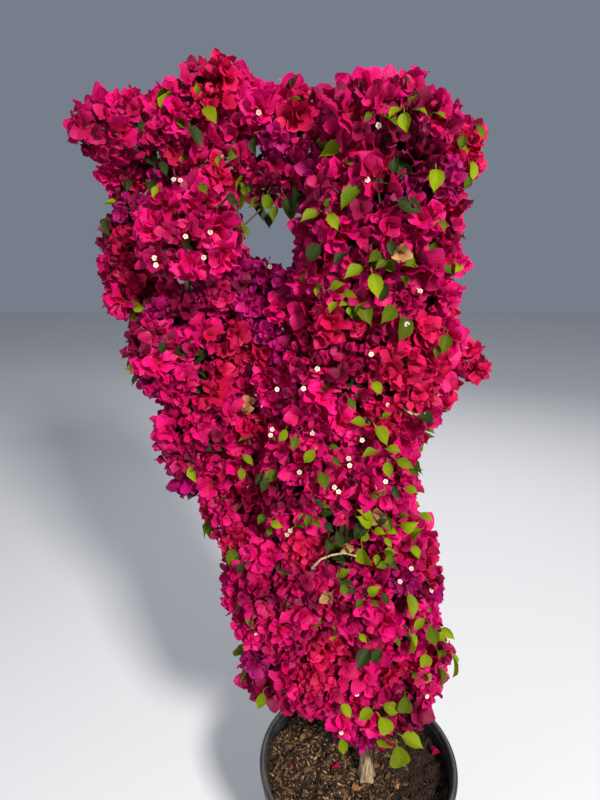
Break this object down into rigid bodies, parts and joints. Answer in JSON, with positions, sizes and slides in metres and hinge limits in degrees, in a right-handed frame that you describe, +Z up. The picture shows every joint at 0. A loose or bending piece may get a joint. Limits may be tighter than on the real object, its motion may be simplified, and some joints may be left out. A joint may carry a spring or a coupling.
{
  "type": "bougainvillea bush in a nursery pot",
  "caption": "Flowering bougainvillea bush: one short trunk, a tall column and a leaning side head of magenta bracts, in a round black plastic nursery pot.",
  "frame": {"origin": "centre of the pot's flat underside, where the pot stands", "axes": "+Z up along the bush, +X to the right and +Y away from the viewer of the picture"},
  "size_m": [0.7218, 0.4388, 1.756],
  "materials": {
    "pot": "matte black, dusty and scuffed",
    "potting_mix": "composted bark chips",
    "bark": "rough tan bark",
    "blossom": "papery magenta bracts and green leaves"
  },
  "bodies": {
    "root": {"pot": "pot", "potting_mix": "potting_mix", "trunk": "bark", "main_stem": "bark", "left_stem": "bark", "spur_bough": "bark", "tip_bough": "bark", "bridge_bough": "bark", "drop_bough": "bark", "inner_bough": "bark", "back_bough": "bark", "arm_bough": "bark", "right_top_mass": "blossom", "right_tip_mass": "blossom", "right_shoulder_mass": "blossom", "right_upper_mass": "blossom", "right_spur_mass": "blossom", "right_middle_mass": "blossom", "right_waist_mass": "blossom", "low_front_mass": "blossom", "low_skirt_mass": "blossom", "low_tip_mass": "blossom", "left_peak_mass": "blossom", "left_arm_mass": "blossom", "left_tip_mass": "blossom", "bridge_mass": "blossom", "bridge_drop_mass": "blossom", "peak_drop_mass": "blossom", "left_ball_mass": "blossom", "left_back_mass": "blossom", "left_inner_mass": "blossom", "left_middle_mass": "blossom", "left_low_mass": "blossom", "left_foot_mass": "blossom"}
  },
  "joints": []
}
